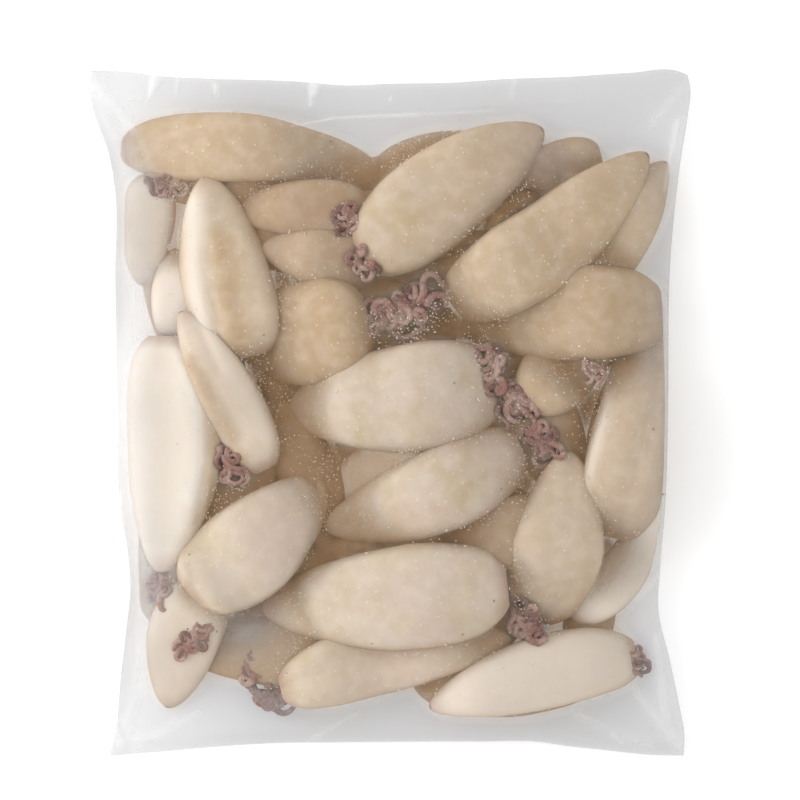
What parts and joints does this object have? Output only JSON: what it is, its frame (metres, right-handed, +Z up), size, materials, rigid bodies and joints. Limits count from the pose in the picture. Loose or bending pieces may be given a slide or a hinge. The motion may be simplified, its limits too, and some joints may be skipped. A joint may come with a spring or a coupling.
{
  "type": "clear sealed bag of cleaned whole squid",
  "caption": "Clear pillow bag with a flat seal across each end, packed with small cleaned whole squid and lying flat; the film takes the form of the squid under it.",
  "frame": {"origin": "on the floor, under the middle of the bag", "axes": "+X across the bag, +Y along it towards the far seal, +Z up through its thickness"},
  "size_m": [0.226, 0.2584, 0.0375],
  "materials": {
    "film": "clear, slightly hazy, satin gloss",
    "mantle": "cream squid flesh, moist and softly translucent",
    "arms": "mauve brown arms with small suckers, moist",
    "ice": "cloudy tan frozen juice with fine pale ice flecks"
  },
  "bodies": {
    "root": {"squid_bag": "film"}
  },
  "joints": []
}
